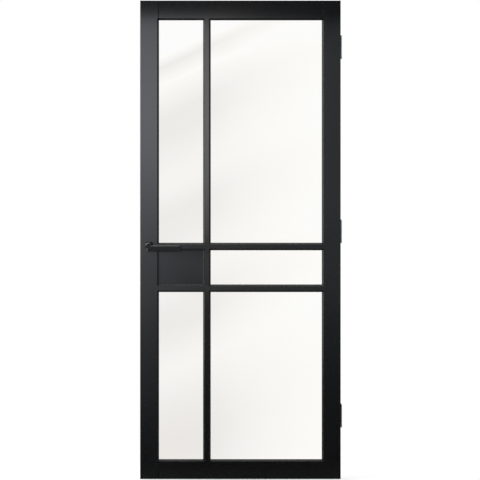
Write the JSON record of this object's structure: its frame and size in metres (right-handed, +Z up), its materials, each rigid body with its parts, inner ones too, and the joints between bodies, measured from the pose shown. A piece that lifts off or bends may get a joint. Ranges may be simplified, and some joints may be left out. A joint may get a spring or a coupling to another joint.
{
  "type": "steel-look glass door",
  "caption": "Steel-look interior door leaf with slim glazing bars, clear glass panes, a closed panel beside the latch, lever handles on both faces and butt hinges.",
  "frame": {"origin": "on the flat back face of the bottom hinge's frame plate, halfway up the plate and level with the middle of the leaf's thickness", "axes": "+X across the leaf, from the latch edge to the hinges and out of the hinge plate's back face; +Y through the leaf, from its front to its back, where the knuckles are; +Z up"},
  "size_m": [0.887, 0.152, 2.1],
  "materials": {
    "black_lacquer": "wood under sprayed black satin lacquer",
    "clear_glass": "clear float glass",
    "black_rubber": "black glazing seal",
    "black_metal": "satin black coated steel",
    "plated_steel": "zinc plated steel"
  },
  "bodies": {
    "hinge_frame_side": {"bottom_hinge_frame_plate": "plated_steel", "bottom_hinge_pin": "plated_steel", "middle_hinge_frame_plate": "plated_steel", "middle_hinge_pin": "plated_steel", "top_hinge_frame_plate": "plated_steel", "top_hinge_pin": "plated_steel"},
    "leaf": {"latch_stile": "black_lacquer", "hinge_stile": "black_lacquer", "top_rail": "black_lacquer", "bottom_rail": "black_lacquer", "upright_bar": "black_lacquer", "lower_left_bar": "black_lacquer", "lower_right_bar": "black_lacquer", "upper_left_bar": "black_lacquer", "upper_right_bar": "black_lacquer", "latch_panel": "black_lacquer", "beads_latch_panel": "black_lacquer", "glass_upper_left": "clear_glass", "gasket_upper_left": "black_rubber", "beads_upper_left": "black_lacquer", "glass_upper_right": "clear_glass", "gasket_upper_right": "black_rubber", "beads_upper_right": "black_lacquer", "glass_middle_right": "clear_glass", "gasket_middle_right": "black_rubber", "beads_middle_right": "black_lacquer", "glass_lower_left": "clear_glass", "gasket_lower_left": "black_rubber", "beads_lower_left": "black_lacquer", "glass_lower_right": "clear_glass", "gasket_lower_right": "black_rubber", "beads_lower_right": "black_lacquer", "front_rosette": "black_metal", "back_rosette": "black_metal", "latch_case": "plated_steel", "latch_bolt": "plated_steel", "latch_faceplate": "plated_steel", "bottom_hinge_leaf_plate": "plated_steel", "middle_hinge_leaf_plate": "plated_steel", "top_hinge_leaf_plate": "plated_steel"},
    "handle": {"front_lever": "black_metal", "back_lever": "black_metal", "spindle": "plated_steel", "latch_follower": "plated_steel"}
  },
  "joints": [
    {"name": "door_swing", "type": "hinge", "parent": "hinge_frame_side", "child": "leaf", "pos_m": [-0.0045, 0.0258, 0], "axis": [0, 0, -1], "range_deg": [0, 170]},
    {"name": "lever_turn", "type": "hinge", "parent": "leaf", "child": "handle", "pos_m": [-0.846, 0, 0.749], "axis": [0, 1, 0], "range_deg": [0, 45], "stiffness_Nm_per_rad": 1.5, "springref_deg": -45.84}
  ]
}
